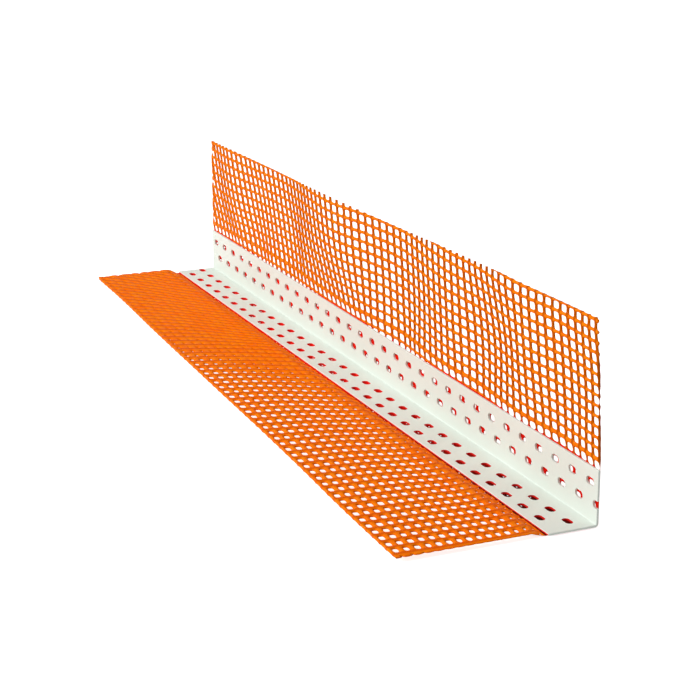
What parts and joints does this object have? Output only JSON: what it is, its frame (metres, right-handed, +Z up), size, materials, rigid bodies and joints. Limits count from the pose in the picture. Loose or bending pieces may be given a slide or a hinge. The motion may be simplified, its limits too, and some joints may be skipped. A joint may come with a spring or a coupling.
{
  "type": "corner guard moulding",
  "caption": "Slotted plastic angle bead with an open coated glass-fibre mesh glued round its outer side, its two mesh wings at a right angle.",
  "frame": {"origin": "middle of the footprint, at floor level", "axes": "+Y along the corner towards the far end, +Z up along the standing wing, the floor wing reaching towards -X"},
  "size_m": [0.085, 0.426, 0.0835],
  "materials": {
    "profile_plastic": "matt off-white PVC",
    "mesh_coating": "satin orange coating on glass-fibre threads"
  },
  "bodies": {
    "root": {"corner_profile": "profile_plastic", "floor_mesh_1": "mesh_coating", "floor_mesh_2": "mesh_coating", "floor_mesh_3": "mesh_coating", "floor_mesh_4": "mesh_coating", "floor_mesh_5": "mesh_coating", "floor_mesh_6": "mesh_coating", "upright_mesh_1": "mesh_coating", "upright_mesh_2": "mesh_coating", "upright_mesh_3": "mesh_coating", "upright_mesh_4": "mesh_coating", "upright_mesh_5": "mesh_coating", "upright_mesh_6": "mesh_coating", "nose_mesh": "mesh_coating"}
  },
  "joints": []
}
